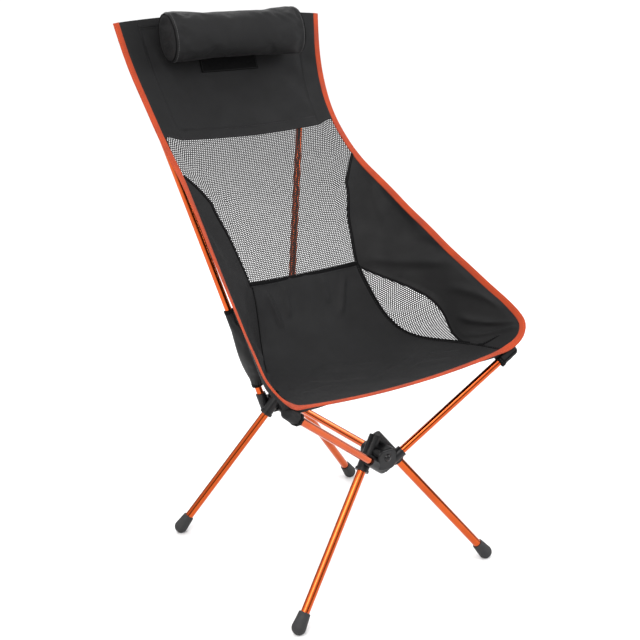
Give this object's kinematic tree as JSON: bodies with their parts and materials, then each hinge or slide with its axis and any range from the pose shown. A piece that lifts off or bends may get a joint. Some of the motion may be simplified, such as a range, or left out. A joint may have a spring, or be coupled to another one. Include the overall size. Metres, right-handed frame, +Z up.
{
  "type": "ultralight backpacking chair",
  "caption": "Packable high-back camp chair: anodised tube frame on moulded hubs, sewn sling with mesh windows, hook-and-loop headrest bolster.",
  "frame": {"origin": "on the floor, below the middle of the chair's outer box", "axes": "+Z up, the sitter faces -Y, +X is the sitter's left"},
  "size_m": [0.5554, 0.6288, 0.9991],
  "materials": {
    "black_nylon_cap": "moulded nylon",
    "black_nylon_hub": "moulded glass-filled nylon, fine texture",
    "elastic_cord": "braided elastic",
    "headrest_fabric": "plain woven polyester",
    "hook_patch": "hook-and-loop",
    "open_mesh": "open knitted mesh",
    "orange_anodised": "bright orange anodised",
    "orange_binding": "woven grosgrain tape",
    "plain_aluminium": "mill finish",
    "pocket_fabric": "reinforced woven polyester",
    "pouch_fabric": "woven polyester and mesh",
    "rivet_black": "black domed rivet",
    "rubber_foot": "moulded matt rubber",
    "woven_black": "plain woven polyester"
  },
  "bodies": {
    "chair_frame": {"back_mesh_panel": "open_mesh", "back_pole_cap_left": "black_nylon_cap", "back_pole_cap_right": "black_nylon_cap", "back_pole_cord_left": "elastic_cord", "back_pole_cord_right": "elastic_cord", "back_pole_lower_left": "orange_anodised", "back_pole_lower_right": "orange_anodised", "back_pole_middle_left": "orange_anodised", "back_pole_middle_right": "orange_anodised", "back_pole_upper_left": "orange_anodised", "back_pole_upper_right": "orange_anodised", "bar_plugs": "plain_aluminium", "centre_bar": "orange_anodised", "front_binding": "orange_binding", "front_hub": "black_nylon_hub", "front_leg_cord_left": "elastic_cord", "front_leg_cord_right": "elastic_cord", "front_pocket_left": "pocket_fabric", "front_pocket_right": "pocket_fabric", "headrest_patch": "hook_patch", "hub_rivets": "rivet_black", "pole_ferrules": "plain_aluminium", "rear_hub": "black_nylon_hub", "rear_leg_cord_left": "elastic_cord", "rear_leg_cord_right": "elastic_cord", "seat_panel": "woven_black", "seat_pole_cap_left": "black_nylon_cap", "seat_pole_cap_right": "black_nylon_cap", "seat_pole_cord_left": "elastic_cord", "seat_pole_cord_right": "elastic_cord", "seat_pole_left": "orange_anodised", "seat_pole_right": "orange_anodised", "side_binding_left": "orange_binding", "side_binding_right": "orange_binding", "side_mesh_left": "open_mesh", "side_mesh_right": "open_mesh", "side_pouch": "pouch_fabric", "side_wing_left": "woven_black", "side_wing_right": "woven_black", "top_pocket_left": "pocket_fabric", "top_pocket_right": "pocket_fabric", "upper_back_panel": "woven_black"},
    "front_leg_left_assembly": {"front_leg_left": "orange_anodised", "front_foot_left": "rubber_foot"},
    "front_leg_right_assembly": {"front_leg_right": "orange_anodised", "front_foot_right": "rubber_foot"},
    "rear_leg_left_assembly": {"rear_leg_left": "orange_anodised", "rear_foot_left": "rubber_foot"},
    "rear_leg_right_assembly": {"rear_leg_right": "orange_anodised", "rear_foot_right": "rubber_foot"},
    "headrest": {"headrest_pillow": "headrest_fabric"}
  },
  "joints": [
    {"name": "front_leg_left_pull_out", "type": "slide", "parent": "chair_frame", "child": "front_leg_left_assembly", "axis": [0.608, -0.1998, -0.7684], "range_m": [0, 0.056], "stiffness_N_per_m": 40, "springref_m": -0.15},
    {"name": "front_leg_right_pull_out", "type": "slide", "parent": "chair_frame", "child": "front_leg_right_assembly", "axis": [-0.608, -0.1998, -0.7684], "range_m": [0, 0.056], "stiffness_N_per_m": 40, "springref_m": -0.15},
    {"name": "rear_leg_left_pull_out", "type": "slide", "parent": "chair_frame", "child": "rear_leg_left_assembly", "axis": [0.5988, 0.1882, -0.7785], "range_m": [0, 0.056], "stiffness_N_per_m": 40, "springref_m": -0.15},
    {"name": "rear_leg_right_pull_out", "type": "slide", "parent": "chair_frame", "child": "rear_leg_right_assembly", "axis": [-0.5988, 0.1882, -0.7785], "range_m": [0, 0.056], "stiffness_N_per_m": 40, "springref_m": -0.15},
    {"name": "headrest_height", "type": "slide", "parent": "chair_frame", "child": "headrest", "axis": [0, 0.3256, 0.9455], "range_m": [-0.03, 0.01]}
  ]
}
